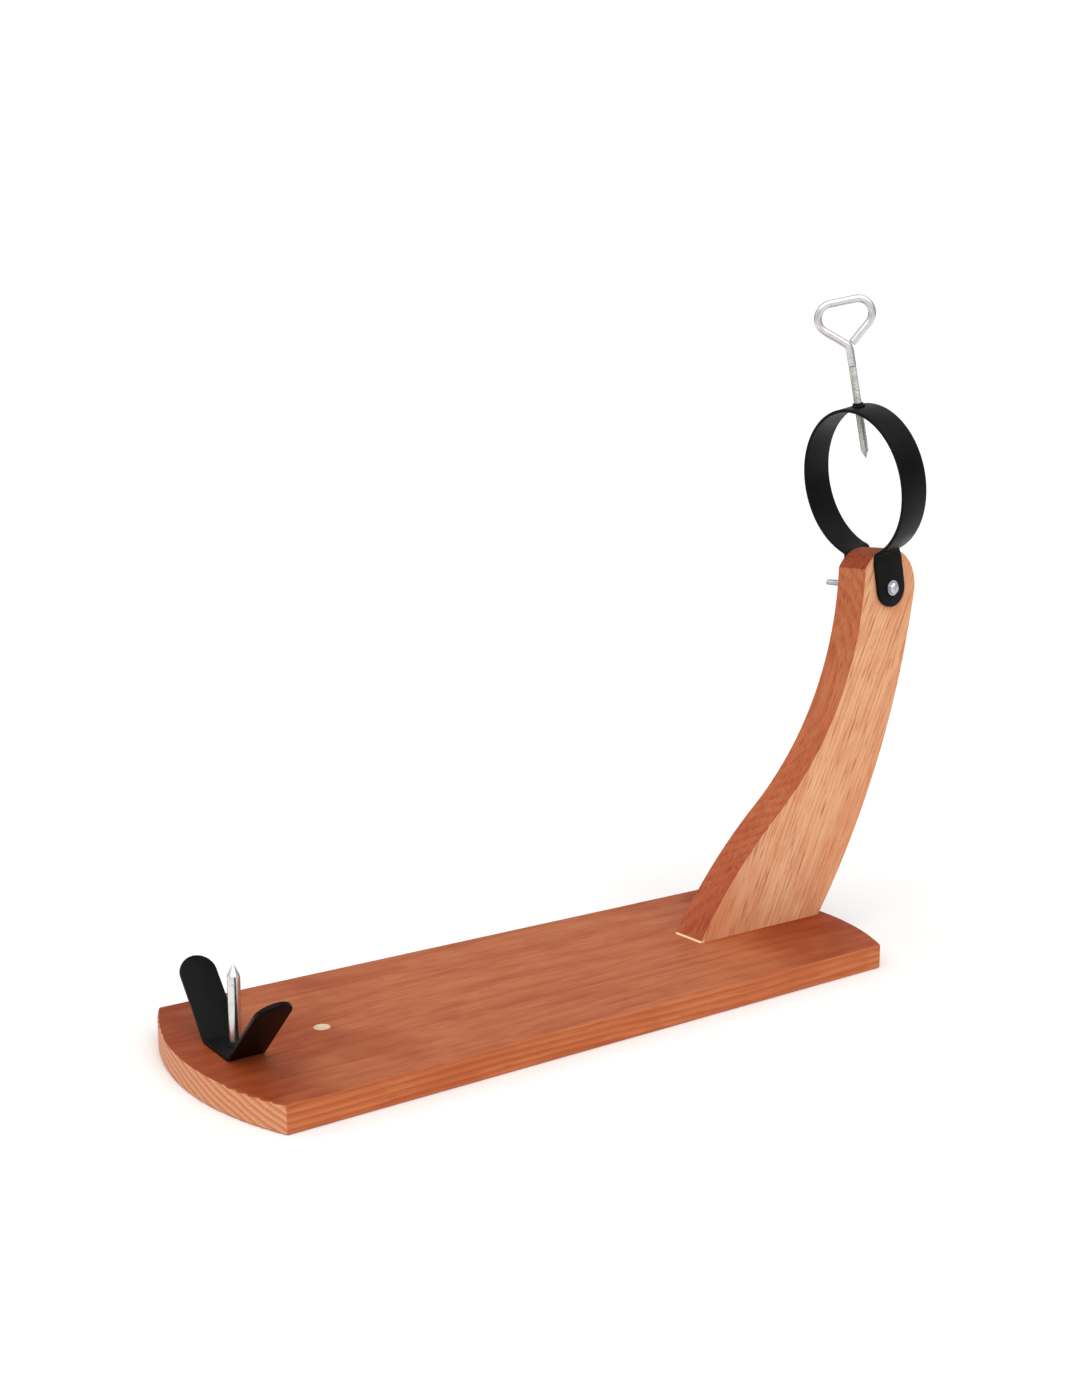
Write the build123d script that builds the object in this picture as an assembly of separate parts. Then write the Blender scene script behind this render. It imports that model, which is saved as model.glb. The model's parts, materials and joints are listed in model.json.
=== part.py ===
from build123d import *
import math
import os

# Ham holder stand: a wooden base board, a leaning wooden arm that carries a hinged steel ring
# with a clamping screw for the hock, and a V-shaped rest with a spike for the other end.
#
# Frame, in millimetres: X runs along the base from the spike end (-X) to the arm end (+X),
# Y points away from the carver, Z is up, and the origin is the centre of the base's underside.

# ------------------------------------------------------------------ driving dimensions
# Base board
BASE_LENGTH = 483.0  # between the corners, along X
BASE_WIDTH = 187.0
BASE_THICKNESS = 18.0
SPIKE_END_BULGE = 22.5  # how far the curved end by the spike runs past its corners
ARM_END_BULGE = 25.5
BASE_EDGE_RADIUS = 1.2
SPARE_HOLE_DIAMETER = 10.5
SPARE_HOLE_PITCH = 58.7  # from the spike to the spare hole

# Arm
ARM_THICKNESS = 28.0
ARM_HEEL_SETBACK = 9.0  # from the tip of the board's curved end to the back of the foot
ARM_FOOT_LENGTH = 123.0
ARM_KNEE_RUN = 78.0  # from the toe to the knee of the front edge, along X
ARM_KNEE_RISE = 88.5
ARM_LOWER_FRONT_BULGE = 4.5
ARM_BACK_BULGE = 15.0
PIVOT_OVERHANG = 68.6  # from the heel to the ring's pivot, along X
PIVOT_HEIGHT = 254.0  # above the board's top
RIDGE_OUT = 27.6  # from the pivot to the ridge where the head meets the front edge
RIDGE_UP = 15.5
HEAD_RADIUS = 30.7  # of the head's top above the pivot
HEAD_BACK_OUT = 28.9  # from the pivot to where the head runs into the back edge
HEAD_BACK_DOWN = 7.0

# Wood screws that hold the arm to the board
WOOD_SCREW_DIAMETER = 5.0
WOOD_SCREW_LENGTH = 50.0
WOOD_SCREW_HEAD_DIAMETER = 10.0
WOOD_SCREW_POINT = 6.0
WOOD_SCREW_COUNT = 3
WOOD_SCREW_FROM_TOE = 40.0
WOOD_SCREW_FROM_HEEL = 19.0
DRIVE_SLOT_LENGTH = 5.0
DRIVE_SLOT_WIDTH = 1.1
DRIVE_SLOT_DEPTH = 1.8

# Rest bracket
BRACKET_WIDTH = 24.0
BRACKET_THICKNESS = 2.5
BRACKET_FOLD_SPACING = 36.6  # between the two folds, on the board
BRACKET_SPLAY = 45.0  # of each wing from the board, in degrees
BRACKET_NEAR_WING = 66.5  # from the fold to the tip, along the outer face
BRACKET_FAR_WING = 58.5
BRACKET_INNER_BEND = 1.5
BRACKET_SHIFT = -1.5  # of the bracket's middle from the spike, along X

# Spike
SPIKE_INSET = 12.0  # from the board's corner line to the spike
SPIKE_DIAMETER = 8.0
SPIKE_HEIGHT = 51.5  # above the bracket's floor
SPIKE_POINT = 7.7
SPIKE_TAIL_DIAMETER = 6.0
SPIKE_TAIL_RECESS = 1.5  # from the board's underside up to the tail's end
SPIKE_COLLAR_HEIGHT = 2.5
SPIKE_COLLAR_FOOT_DIAMETER = 12.0
SPIKE_COLLAR_TOP_DIAMETER = 9.0
SPIKE_WASHER_DIAMETER = 14.0
SPIKE_WASHER_THICKNESS = 1.6
SPIKE_NUT_ACROSS_FLATS = 10.0
SPIKE_NUT_HEIGHT = 5.0
COUNTERBORE_DIAMETER = 18.0
COUNTERBORE_DEPTH = 9.0

# Ring
RING_WIDTH = 102.0  # outside, across the ring
RING_HEIGHT = 118.0  # outside, of the full ellipse
RING_BEND_HEIGHT = 28.6  # from the pivot to where the ears bend out into the ring
RING_TILT = 12.2  # of the ring toward the spike, in degrees
STRAP_THICKNESS = 2.5
STRAP_WIDTH = 26.0
STRAP_BEND_RADIUS = 1.2
EAR_WIDTH = 30.0
EAR_TAPER_LENGTH = 10.0
EAR_TAPER_ABOVE_BEND = 3.4
BOSS_HEIGHT = 2.4
BOSS_TOP_DIAMETER = 8.2
BOSS_FOOT_DIAMETER = 10.5

# Clamping screw, measured along its own axis from the top of the ring
SCREW_DIAMETER = 6.0
SCREW_OFFSET = -3.3  # of the axis from the middle of the ring's top
SCREW_LEAN = 2.6  # degrees, away from the carver
SCREW_REACH = 40.8  # down to the tip
SCREW_POINT = 6.7
THREAD_RISE = 30.1  # up to where the thread ends and the handle begins
HANDLE_BEND_RISE = 45.5
HANDLE_BEND_RADIUS = 8.0
HANDLE_SPLAY = 49.5  # of each side of the loop from the axis, in degrees
HANDLE_LOOP_HEIGHT = 33.6
HANDLE_CORNER_RADIUS = 11.0
HANDLE_END_GAP = 2.9  # from the bend's corner to the cut end, along the loop's side
HANDLE_TURN = -35.6  # of the loop's plane about the axis, in degrees

# Pivot bolt
BOLT_DIAMETER = 5.0
BOLT_LENGTH = 70.0
BOLT_HEAD_DIAMETER = 9.5
BOLT_HEAD_HEIGHT = 3.7
BOLT_HEAD_EDGE = 1.4  # straight edge of the head below its dome
BOLT_END_CHAMFER = 0.6
BOLT_WASHER_DIAMETER = 12.0
BOLT_WASHER_THICKNESS = 1.2
BOLT_NUT_ACROSS_FLATS = 8.0
BOLT_NUT_HEIGHT = 4.0

# Clearances
RUNNING_FIT = 0.05  # radial, where one piece turns on another
THREAD_FIT = 0.03  # radial, between a fastener and its nut or washer
DRILLED_GAP = 0.2  # radial, around a bolt in wood
SCREW_FIT = 0.05  # around a wood screw in its hole
EAR_GAP = 0.3  # between the arm's face and each ear
WASHER_GAP = 0.1  # between an ear and its washer
JOINT_GAP = 0.1  # between the threaded shank and the handle
SEAT_GAP = 0.02  # between welded pieces

# ------------------------------------------------------------------ places that follow
board_top = BASE_THICKNESS
bracket_floor = board_top + BRACKET_THICKNESS
spike_x = -BASE_LENGTH / 2 + SPIKE_INSET
spare_hole_x = spike_x + SPARE_HOLE_PITCH
bracket_x = spike_x + BRACKET_SHIFT

heel_x = BASE_LENGTH / 2 + ARM_END_BULGE - ARM_HEEL_SETBACK
toe_x = heel_x - ARM_FOOT_LENGTH
pivot_x = heel_x + PIVOT_OVERHANG
pivot_z = board_top + PIVOT_HEIGHT
first_screw_x = toe_x + WOOD_SCREW_FROM_TOE
last_screw_x = heel_x - WOOD_SCREW_FROM_HEEL
screw_pitch = (last_screw_x - first_screw_x) / (WOOD_SCREW_COUNT - 1)
wood_screw_xs = [first_screw_x + index * screw_pitch for index in range(WOOD_SCREW_COUNT)]

ear_inner = ARM_THICKNESS / 2 + EAR_GAP
ear_outer = ear_inner + STRAP_THICKNESS
washer_face = ear_outer + WASHER_GAP
ring_half_width = RING_WIDTH / 2
ring_half_height = RING_HEIGHT / 2
ring_centre = RING_BEND_HEIGHT + ring_half_height * math.sqrt(1 - (ear_outer / ring_half_width) ** 2)
ring_top = ring_centre + ring_half_height

# In the ring's plane, local x runs along Y and local y runs from the pivot to the ring's top.
tilt = math.radians(RING_TILT)
ring_plane = Plane(
    origin=(pivot_x, 0, pivot_z),
    x_dir=(0, 1, 0),
    z_dir=(math.cos(tilt), 0, math.sin(tilt)),
)
# In the side plane, local x runs along the ring's own axis and local y as above.
side_plane = Plane(
    origin=(pivot_x, 0, pivot_z),
    x_dir=(math.cos(tilt), 0, math.sin(tilt)),
    z_dir=(0, -1, 0),
)

# The screw's plane has its z along the screw and its x along the handle loop.
lean = math.radians(SCREW_LEAN)
turn = math.radians(HANDLE_TURN)
screw_axis = ring_plane.x_dir * math.sin(lean) + ring_plane.y_dir * math.cos(lean)
level_turn = Vector(math.cos(turn), math.sin(turn), 0)
loop_side = (level_turn - screw_axis * level_turn.dot(screw_axis)).normalized()
screw_origin = ring_plane.from_local_coords(Vector(SCREW_OFFSET, ring_top, 0))
screw_plane = Plane(origin=screw_origin, x_dir=loop_side, z_dir=screw_axis)


# ------------------------------------------------------------------ shared shapes
def rod_along_y(radius, start, end):
    """A round bar along Y through the pivot, from start to end."""
    across = Plane(origin=(pivot_x, start, pivot_z), x_dir=(1, 0, 0), z_dir=(0, 1, 0))
    return extrude(across * Circle(radius), end - start)


def upright_cylinder(radius, x, bottom, top):
    """A round bar along Z on the board's centre line."""
    return extrude(Plane(origin=(x, 0, bottom)) * Circle(radius), top - bottom)


def turned(points, plane):
    """Turn a closed outline of (radius, height) points about the plane's z axis."""
    profile = Plane(origin=plane.origin, x_dir=plane.x_dir, z_dir=-plane.y_dir)
    outline = make_face(profile * Polyline(*points, close=True))
    return revolve(outline, Axis(plane.origin, plane.z_dir), 360)


def hexagon_nut(across_flats, height, bore_radius, plane):
    """A hexagon nut standing on the plane."""
    body = extrude(plane * RegularPolygon(across_flats / 2, 6, major_radius=False), height)
    return body - extrude(plane * Circle(bore_radius), height)


def washer(outer_radius, bore_radius, thickness, plane):
    """A flat washer lying on the plane."""
    return extrude(plane * (Circle(outer_radius) - Circle(bore_radius)), thickness)


# ------------------------------------------------------------------ wood
def wood_screw(x, grown):
    """A countersunk screw driven up from the board's underside, grown by a clearance."""
    head = WOOD_SCREW_HEAD_DIAMETER / 2 + grown
    shank = WOOD_SCREW_DIAMETER / 2 + grown
    top = WOOD_SCREW_LENGTH + grown
    outline = [(0, 0), (head, 0), (shank, head - shank), (shank, top - WOOD_SCREW_POINT), (0, top)]
    return turned(outline, Plane(origin=(x, 0, 0)))


def base_board():
    """The board: straight long sides, bulging ends, and the holes for everything fixed to it."""
    half_length = BASE_LENGTH / 2
    half_width = BASE_WIDTH / 2
    near_side = Line((-half_length, -half_width), (half_length, -half_width))
    arm_end = SagittaArc((half_length, -half_width), (half_length, half_width), -ARM_END_BULGE)
    far_side = Line((half_length, half_width), (-half_length, half_width))
    spike_end = SagittaArc((-half_length, half_width), (-half_length, -half_width), -SPIKE_END_BULGE)
    outline = make_face([near_side, arm_end, far_side, spike_end])
    board = extrude(outline, BASE_THICKNESS)
    board = fillet(board.edges(), BASE_EDGE_RADIUS)
    board -= upright_cylinder(SPARE_HOLE_DIAMETER / 2, spare_hole_x, 0, board_top)
    board -= upright_cylinder(SPIKE_TAIL_DIAMETER / 2 + DRILLED_GAP, spike_x, 0, board_top)
    board -= upright_cylinder(COUNTERBORE_DIAMETER / 2, spike_x, 0, COUNTERBORE_DEPTH)
    for x in wood_screw_xs:
        board -= wood_screw(x, SCREW_FIT)
    return board


def upright_arm():
    """The leaning arm: an S-shaped front edge, a round head and a bowed back edge."""
    toe = (toe_x, board_top)
    heel = (heel_x, board_top)
    knee = (toe_x + ARM_KNEE_RUN, board_top + ARM_KNEE_RISE)
    ridge = (pivot_x - RIDGE_OUT, pivot_z + RIDGE_UP)
    head_top = (pivot_x, pivot_z + HEAD_RADIUS)
    head_back = (pivot_x + HEAD_BACK_OUT, pivot_z - HEAD_BACK_DOWN)
    lower_front = SagittaArc(toe, knee, ARM_LOWER_FRONT_BULGE)
    upper_front = TangentArc(knee, ridge, tangent=lower_front % 1)
    head = ThreePointArc(ridge, head_top, head_back)
    back = SagittaArc(head_back, heel, ARM_BACK_BULGE)
    foot = Line(heel, toe)
    outline = make_face([lower_front, upper_front, head, back, foot])
    arm = extrude(Plane.XZ * outline, ARM_THICKNESS / 2, both=True)
    arm -= rod_along_y(BOLT_DIAMETER / 2 + DRILLED_GAP, -ARM_THICKNESS, ARM_THICKNESS)
    for x in wood_screw_xs:
        arm -= wood_screw(x, SCREW_FIT)
    return arm


def arm_screws():
    """Three countersunk wood screws with cross drives, flush with the board's underside."""
    screws = []
    for x in wood_screw_xs:
        screw = wood_screw(x, 0)
        slot = Rectangle(DRIVE_SLOT_LENGTH, DRIVE_SLOT_WIDTH)
        cross = slot + Rot(0, 0, 90) * slot
        screw -= extrude(Plane(origin=(x, 0, 0)) * cross, DRIVE_SLOT_DEPTH)
        screws.append(screw)
    return Compound(children=screws)


# ------------------------------------------------------------------ rest and spike
def wing_blank(side, length):
    """A thick round-ended tongue that marks the outline of one wing."""
    splay = math.radians(BRACKET_SPLAY)
    fold = (bracket_x, side * BRACKET_FOLD_SPACING / 2, board_top)
    along = Vector(0, side * math.cos(splay), math.sin(splay))
    wing_plane = Plane(origin=fold, x_dir=along, z_dir=Vector(1, 0, 0).cross(along))
    half_width = BRACKET_WIDTH / 2
    straight = length - half_width
    tongue = Pos(straight / 2, 0) * Rectangle(straight, BRACKET_WIDTH)
    tongue += Pos(straight, 0) * Circle(half_width)
    return extrude(wing_plane * tongue, 2 * BRACKET_THICKNESS, both=True)


def edges_at(strip, *places):
    """The edges along X that pass through one of the given (y, z) places."""
    found = []
    for edge in strip.edges().filter_by(Axis.X):
        middle = edge @ 0.5
        if any(abs(middle.Y - place.X) + abs(middle.Z - place.Y) < 0.01 for place in places):
            found.append(edge)
    return found


def rest_bracket():
    """A steel strip bent into a wide V, with rounded tips and a hole for the spike."""
    splay = math.radians(BRACKET_SPLAY)
    half_floor = BRACKET_FOLD_SPACING / 2
    inner_shift = BRACKET_THICKNESS * math.tan(splay / 2)
    near_run = Vector(-math.cos(splay), math.sin(splay)) * BRACKET_NEAR_WING
    far_run = Vector(math.cos(splay), math.sin(splay)) * BRACKET_FAR_WING
    near_fold = Vector(-half_floor, board_top)
    far_fold = Vector(half_floor, board_top)
    near_inner = Vector(-half_floor + inner_shift, bracket_floor)
    far_inner = Vector(half_floor - inner_shift, bracket_floor)
    near_thick = Vector(math.sin(splay), math.cos(splay)) * BRACKET_THICKNESS
    far_thick = Vector(-math.sin(splay), math.cos(splay)) * BRACKET_THICKNESS
    outline = Polyline(
        near_fold + near_run,
        near_fold,
        far_fold,
        far_fold + far_run,
        far_fold + far_run + far_thick,
        far_inner,
        near_inner,
        near_fold + near_run + near_thick,
        close=True,
    )
    strip = extrude(Plane.YZ * make_face(outline), BRACKET_WIDTH / 2, both=True)
    strip = Pos(bracket_x, 0, 0) * strip
    strip = fillet(edges_at(strip, near_inner, far_inner), BRACKET_INNER_BEND)
    strip = fillet(edges_at(strip, near_fold, far_fold), BRACKET_INNER_BEND + BRACKET_THICKNESS)
    floor_size = (BRACKET_WIDTH, BRACKET_FOLD_SPACING, 4 * BRACKET_THICKNESS)
    floor_blank = Pos(bracket_x, 0, board_top) * Box(*floor_size)
    blank = floor_blank + wing_blank(-1, BRACKET_NEAR_WING) + wing_blank(1, BRACKET_FAR_WING)
    strip = strip & blank
    hole_radius = SPIKE_TAIL_DIAMETER / 2 + DRILLED_GAP
    return strip - upright_cylinder(hole_radius, spike_x, board_top, bracket_floor)


def spike():
    """A round steel spike with a cone point and a thinner threaded tail through the board."""
    radius = SPIKE_DIAMETER / 2
    tail = SPIKE_TAIL_DIAMETER / 2
    tip = bracket_floor + SPIKE_HEIGHT
    outline = [
        (0, SPIKE_TAIL_RECESS),
        (tail, SPIKE_TAIL_RECESS),
        (tail, bracket_floor),
        (radius, bracket_floor),
        (radius, tip - SPIKE_POINT),
        (0, tip),
    ]
    return turned(outline, Plane(origin=(spike_x, 0, 0)))


def spike_collar():
    """The weld collar around the spike's root."""
    bore = SPIKE_DIAMETER / 2 + SEAT_GAP
    outline = [
        (bore, 0),
        (SPIKE_COLLAR_FOOT_DIAMETER / 2, 0),
        (SPIKE_COLLAR_TOP_DIAMETER / 2, SPIKE_COLLAR_HEIGHT),
        (bore, SPIKE_COLLAR_HEIGHT),
    ]
    return turned(outline, Plane(origin=(spike_x, 0, bracket_floor)))


def spike_washer():
    """The washer at the top of the counterbore, on the spike's tail."""
    seat = Plane(origin=(spike_x, 0, COUNTERBORE_DEPTH - SPIKE_WASHER_THICKNESS))
    bore = SPIKE_TAIL_DIAMETER / 2 + THREAD_FIT
    return washer(SPIKE_WASHER_DIAMETER / 2, bore, SPIKE_WASHER_THICKNESS, seat)


def spike_nut():
    """The nut under the washer."""
    bottom = COUNTERBORE_DEPTH - SPIKE_WASHER_THICKNESS - SPIKE_NUT_HEIGHT
    seat = Plane(origin=(spike_x, 0, bottom))
    bore = SPIKE_TAIL_DIAMETER / 2 + THREAD_FIT
    return hexagon_nut(SPIKE_NUT_ACROSS_FLATS, SPIKE_NUT_HEIGHT, bore, seat)


# ------------------------------------------------------------------ ring and its screw
def ring_outline(shrink):
    """An ellipse that runs down into the straight space between two ears, shrunk by shrink."""
    half_gap = ear_outer - shrink
    ear_length = ring_centre + EAR_WIDTH
    ellipse = Pos(0, ring_centre) * Ellipse(ring_half_width - shrink, ring_half_height - shrink)
    legs = Pos(0, ring_centre - ear_length / 2) * Rectangle(2 * half_gap, ear_length)
    return ellipse + legs


def strap_side():
    """The strap seen from the side: round ears that taper into the narrower strap."""
    ear = EAR_WIDTH / 2
    strap = STRAP_WIDTH / 2
    taper_end = RING_BEND_HEIGHT + EAR_TAPER_ABOVE_BEND
    taper_start = taper_end - EAR_TAPER_LENGTH
    above = ring_top + STRAP_WIDTH
    outline = make_face(
        [
            ThreePointArc((-ear, 0), (0, -ear), (ear, 0)),
            Polyline(
                (ear, 0),
                (ear, taper_start),
                (strap, taper_end),
                (strap, above),
                (-strap, above),
                (-strap, taper_end),
                (-ear, taper_start),
                (-ear, 0),
            ),
        ]
    )
    return extrude(side_plane * outline, RING_WIDTH, both=True)


def bend_corners(outline, half_width):
    """The two corners of an outline at the given distance from its middle, near the bends."""
    corners = outline.vertices()
    return [v for v in corners if abs(abs(v.X) - half_width) < 0.01 and v.Y > 0]


def ring_strap():
    """One strip bent into an ellipse with two straight ears that straddle the arm's head."""
    outer = ring_outline(0)
    outer = fillet(bend_corners(outer, ear_outer), STRAP_BEND_RADIUS + STRAP_THICKNESS)
    inner = ring_outline(STRAP_THICKNESS)
    inner = fillet(bend_corners(inner, ear_inner), STRAP_BEND_RADIUS)
    band = extrude(ring_plane * (outer - inner), EAR_WIDTH, both=True)
    strap = band & strap_side()
    strap -= rod_along_y(BOLT_DIAMETER / 2 + RUNNING_FIT, -RING_WIDTH, RING_WIDTH)
    below_top = screw_plane.offset(-ring_half_height)
    return strap - extrude(below_top * Circle(SCREW_DIAMETER / 2 + RUNNING_FIT), RING_HEIGHT)


def ring_boss():
    """The collar on the ring's top, flared where it is welded to the strap."""
    bore = SCREW_DIAMETER / 2 + RUNNING_FIT
    outline = [
        (bore, -STRAP_THICKNESS),
        (BOSS_FOOT_DIAMETER / 2, -STRAP_THICKNESS),
        (BOSS_FOOT_DIAMETER / 2, BOSS_HEIGHT / 4),
        (BOSS_TOP_DIAMETER / 2, BOSS_HEIGHT / 2),
        (BOSS_TOP_DIAMETER / 2, BOSS_HEIGHT),
        (bore, BOSS_HEIGHT),
    ]
    ellipse = Ellipse(ring_half_width + SEAT_GAP, ring_half_height + SEAT_GAP)
    strap_core = extrude(ring_plane * Pos(0, ring_centre) * ellipse, STRAP_WIDTH, both=True)
    return turned(outline, screw_plane) - strap_core


def clamp_screw_shank():
    """The threaded part of the clamping screw, with a cone point."""
    radius = SCREW_DIAMETER / 2
    shoulder = SCREW_POINT - SCREW_REACH
    outline = [(0, -SCREW_REACH), (radius, shoulder), (radius, THREAD_RISE), (0, THREAD_RISE)]
    return turned(outline, screw_plane)


def clamp_screw_handle():
    """The rest of the same rod, bent into a triangular loop with round corners."""
    splay = HANDLE_SPLAY
    corner_turn = 90 + splay
    bend_setback = HANDLE_BEND_RADIUS * math.tan(math.radians(splay / 2))
    corner_setback = HANDLE_CORNER_RADIUS * math.tan(math.radians(corner_turn / 2))
    side_length = HANDLE_LOOP_HEIGHT / math.cos(math.radians(splay))
    top_length = 2 * HANDLE_LOOP_HEIGHT * math.tan(math.radians(splay)) - 2 * corner_setback
    left_length = side_length - bend_setback - corner_setback
    right_length = side_length - corner_setback - HANDLE_END_GAP
    start = (0, THREAD_RISE + JOINT_GAP - HANDLE_BEND_RISE)

    stem = Line(start, (0, -bend_setback))
    bend = JernArc(stem @ 1, stem % 1, HANDLE_BEND_RADIUS, splay)
    left = Line(bend @ 1, bend @ 1 + (bend % 1) * left_length)
    left_corner = JernArc(left @ 1, left % 1, HANDLE_CORNER_RADIUS, -corner_turn)
    top = Line(left_corner @ 1, left_corner @ 1 + (left_corner % 1) * top_length)
    right_corner = JernArc(top @ 1, top % 1, HANDLE_CORNER_RADIUS, -corner_turn)
    right = Line(right_corner @ 1, right_corner @ 1 + (right_corner % 1) * right_length)
    path = Wire([stem, bend, left, left_corner, top, right_corner, right])

    loop_plane = Plane(
        origin=screw_origin + screw_axis * HANDLE_BEND_RISE,
        x_dir=loop_side,
        z_dir=loop_side.cross(screw_axis),
    )
    foot = Plane(origin=(0, start[1], 0), x_dir=(1, 0, 0), z_dir=(0, 1, 0))
    section = foot * Circle(SCREW_DIAMETER / 2)
    return loop_plane * sweep(section, path=path)


# ------------------------------------------------------------------ pivot
def pivot_bolt():
    """A long pan-head screw along Y through both ears and the arm."""
    under_head = -washer_face - BOLT_WASHER_THICKNESS
    end = under_head + BOLT_LENGTH
    edge = under_head - BOLT_HEAD_EDGE
    crown = under_head - BOLT_HEAD_HEIGHT
    shank = rod_along_y(BOLT_DIAMETER / 2, under_head, end)
    shank = chamfer(shank.edges().sort_by(Axis.Y)[-1], BOLT_END_CHAMFER)
    radius = BOLT_HEAD_DIAMETER / 2
    dome = TangentArc((0, crown), (radius, edge), tangent=(1, 0))
    sides = Polyline((radius, edge), (radius, under_head), (0, under_head), (0, crown))
    half_head = Pos(pivot_x, 0, pivot_z) * make_face([dome, sides])
    head = revolve(half_head, Axis((pivot_x, 0, pivot_z), (0, 1, 0)), 360)
    return shank + head


def pivot_washer(side):
    """The washer on one ear: side -1 is under the bolt's head, side 1 is under the nut."""
    seat = Plane(origin=(pivot_x, side * washer_face, pivot_z), x_dir=(1, 0, 0), z_dir=(0, side, 0))
    bore = BOLT_DIAMETER / 2 + THREAD_FIT
    return washer(BOLT_WASHER_DIAMETER / 2, bore, BOLT_WASHER_THICKNESS, seat)


def pivot_nut():
    """The nut on the far side."""
    face = washer_face + BOLT_WASHER_THICKNESS
    seat = Plane(origin=(pivot_x, face, pivot_z), x_dir=(1, 0, 0), z_dir=(0, 1, 0))
    return hexagon_nut(BOLT_NUT_ACROSS_FLATS, BOLT_NUT_HEIGHT, BOLT_DIAMETER / 2 + THREAD_FIT, seat)


nodes = {
    "base_board": base_board(),
    "upright_arm": upright_arm(),
    "arm_screws": arm_screws(),
    "rest_bracket": rest_bracket(),
    "spike": spike(),
    "spike_collar": spike_collar(),
    "spike_washer": spike_washer(),
    "spike_nut": spike_nut(),
    "ring_strap": ring_strap(),
    "ring_boss": ring_boss(),
    "clamp_screw_shank": clamp_screw_shank(),
    "clamp_screw_handle": clamp_screw_handle(),
    "pivot_bolt": pivot_bolt(),
    "pivot_head_washer": pivot_washer(-1),
    "pivot_far_washer": pivot_washer(1),
    "pivot_nut": pivot_nut(),
}

os.makedirs("parts", exist_ok=True)
for name, shape in nodes.items():
    export_step(shape, f"parts/{name}.step")
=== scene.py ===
"""Looks of the ham holder stand: pine board and arm, black strap work, bright zinc hardware.

Lengths in the sub-assemblies are millimetres. In the finishes and the studio they are metres,
unless a name ends in mm. Every mesh is made in metres in the stand's own frame: X runs from the
spike to the arm, Y across the board, Z up from the board's underside.
"""

from __future__ import annotations

import json
import logging
import math
from dataclasses import dataclass
from enum import Enum
from typing import Any

import bpy
import numpy as np
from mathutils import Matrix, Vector

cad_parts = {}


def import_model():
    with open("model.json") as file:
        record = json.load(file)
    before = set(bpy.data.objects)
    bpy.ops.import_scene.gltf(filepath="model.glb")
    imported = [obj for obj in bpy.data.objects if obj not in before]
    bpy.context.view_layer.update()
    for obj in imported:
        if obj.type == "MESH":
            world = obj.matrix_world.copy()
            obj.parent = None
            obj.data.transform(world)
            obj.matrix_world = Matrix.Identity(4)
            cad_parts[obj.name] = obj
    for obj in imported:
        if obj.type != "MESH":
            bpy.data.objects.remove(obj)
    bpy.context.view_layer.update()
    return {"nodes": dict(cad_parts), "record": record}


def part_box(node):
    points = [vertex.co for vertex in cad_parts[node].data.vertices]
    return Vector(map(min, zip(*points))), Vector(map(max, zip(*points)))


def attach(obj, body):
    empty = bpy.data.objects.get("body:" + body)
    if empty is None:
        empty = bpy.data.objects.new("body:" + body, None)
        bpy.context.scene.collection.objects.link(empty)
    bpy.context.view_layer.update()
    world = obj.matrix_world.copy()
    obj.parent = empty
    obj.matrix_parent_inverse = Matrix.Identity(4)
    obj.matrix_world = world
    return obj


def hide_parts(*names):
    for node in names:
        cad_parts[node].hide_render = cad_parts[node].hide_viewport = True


LOG = logging.getLogger("ham_stand")
MM = 0.001
UP = np.array([0.0, 0.0, 1.0])
ACROSS = np.array([0.0, 1.0, 0.0])
X, Y, Z = range(3)
Array = np.ndarray
# Points of shape (rings, points round a ring, 3).
Rings = np.ndarray
Tree = bpy.types.NodeTree
Socket = bpy.types.NodeSocket
Material = bpy.types.Material

# Points round a ring of each kind of rod, and rings to one pitch of a thread.
WELD_AROUND = 96
SPIKE_AROUND = 48
THREAD_AROUND = 40
ROD_AROUND = 36
RINGS_PER_PITCH = 12
# Points along the ring's ellipse, the handle's line and the bolt's dome.
ELLIPSE_POINTS = 241
HANDLE_POINTS = 420
DOME_POINTS = 24
# Steps along a small turned profile, and the smallest radii that a profile and a ring may have.
PROFILE_STEP = 0.12
AXIS_NEAR = 0.05
TIP_RADIUS = 0.02


class Body(Enum):
    """The rigid bodies that pieces ride on."""

    STAND = "stand"
    RING = "ring"
    SCREW = "screw"
    HANDLE = "handle"


class Slot(Enum):
    """The record's material slots, one passed with each new piece."""

    BLACK = "black_steel"
    SPIKE = "spike_steel"
    THREAD = "threaded_steel"
    WIRE = "zinc_wire"
    FASTENER = "zinc_fasteners"


# ---- colour and nodes
def linear(code: str) -> tuple[float, float, float, float]:
    """Turn an sRGB hex colour into linear red, green, blue and alpha.

    Args:
        code: The colour as "#rrggbb".

    Returns:
        The colour as Blender's sockets take it.
    """
    parts = np.array([int(code[i : i + 2], 16) for i in (1, 3, 5)]) / 255.0
    value = np.where(parts <= 0.04045, parts / 12.92, ((parts + 0.055) / 1.055) ** 2.4)
    return (float(value[0]), float(value[1]), float(value[2]), 1.0)


def add_node(
    tree: Tree,
    kind: str,
    values: dict[Any, Any] | None = None,
    links: dict[Any, Socket] | None = None,
    **settings: Any,
) -> bpy.types.Node:
    """Add one shader node, set it up and link its inputs.

    Args:
        tree: The node tree to add to.
        kind: The node's type name.
        values: Input values by socket name or number.
        links: Output sockets of other nodes by this node's socket name or number.
        settings: The node's own attributes.

    Returns:
        The new node.
    """
    node = tree.nodes.new(kind)
    for key, value in settings.items():
        setattr(node, key, value)
    for socket, value in (values or {}).items():
        node.inputs[socket].default_value = value
    for socket, source in (links or {}).items():
        tree.links.new(source, node.inputs[socket])
    return node


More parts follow.
